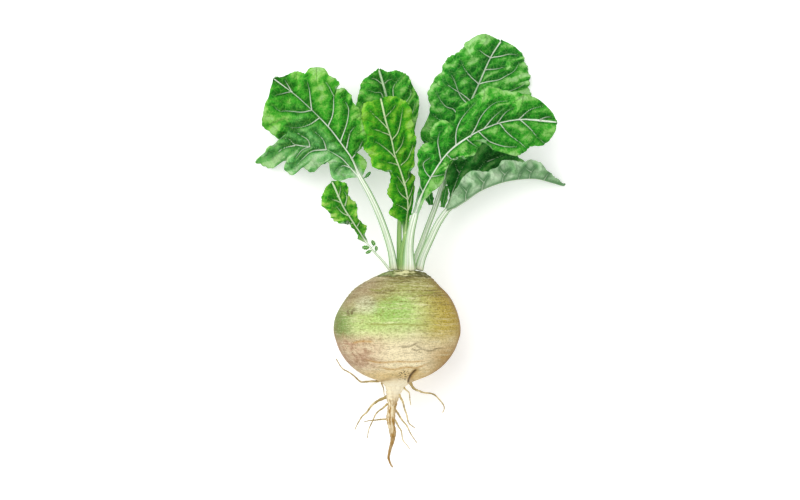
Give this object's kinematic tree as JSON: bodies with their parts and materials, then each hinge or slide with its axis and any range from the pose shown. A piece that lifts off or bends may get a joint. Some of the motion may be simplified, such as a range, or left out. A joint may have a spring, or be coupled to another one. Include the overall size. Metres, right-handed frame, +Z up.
{
  "type": "rutabaga",
  "caption": "Rutabaga with its taproot, fine side roots and lobed green leaves on ribbed stalks, laid on its side.",
  "frame": {"origin": "on the small flat spot under the swollen root, where it rests on a surface", "axes": "+Y along the root's axis from the taproot towards the leaves, +Z up, away from the surface it lies on, +X to the right when seen from above with the leaves away from the viewer"},
  "size_m": [0.298, 0.4143, 0.1185],
  "materials": {
    "root_skin": "smooth, faintly waxy root skin: olive tan top, lime green girdle, cream below",
    "fine_roots": "matt, pale tan root fibre",
    "stalks": "satin, pale green with lengthwise ribs",
    "blade_left": "satin mid green leaf with pale veins",
    "blade_small": "satin yellow-green leaf with pale veins",
    "blade_back": "satin mid green leaf with pale veins",
    "blade_middle": "satin yellow-green leaf with pale veins",
    "blade_front": "satin bright green leaf with pale veins",
    "blade_tall": "satin green leaf with pale veins",
    "blade_folded": "satin dark green upper side and dull blue-green underside",
    "leaflets_pale": "satin light green leaf",
    "leaflets_dark": "satin dark green leaf"
  },
  "bodies": {
    "root": {"root": "root_skin", "side_root_1": "fine_roots", "side_root_2": "fine_roots", "side_root_3": "fine_roots", "side_root_4": "fine_roots", "side_root_5": "fine_roots", "side_root_6": "fine_roots", "side_root_7": "fine_roots", "side_root_8": "fine_roots", "side_root_9": "fine_roots", "side_root_10": "fine_roots", "leaf_left_stalk": "stalks", "leaf_left_blade": "blade_left", "leaf_small_stalk": "stalks", "leaf_small_blade": "blade_small", "leaf_back_stalk": "stalks", "leaf_back_blade": "blade_back", "leaf_middle_stalk": "stalks", "leaf_middle_blade": "blade_middle", "leaf_front_stalk": "stalks", "leaf_front_blade": "blade_front", "leaf_tall_stalk": "stalks", "leaf_tall_blade": "blade_tall", "leaf_folded_stalk": "stalks", "leaf_folded_blade": "blade_folded", "leaflet_small_1": "leaflets_pale", "leaflet_small_2": "leaflets_pale", "leaflet_small_3": "leaflets_pale", "leaflet_small_4": "leaflets_pale", "leaflet_tall_left": "leaflets_dark", "leaflet_tall_right": "leaflets_dark", "leaflet_left": "leaflets_dark"}
  },
  "joints": []
}
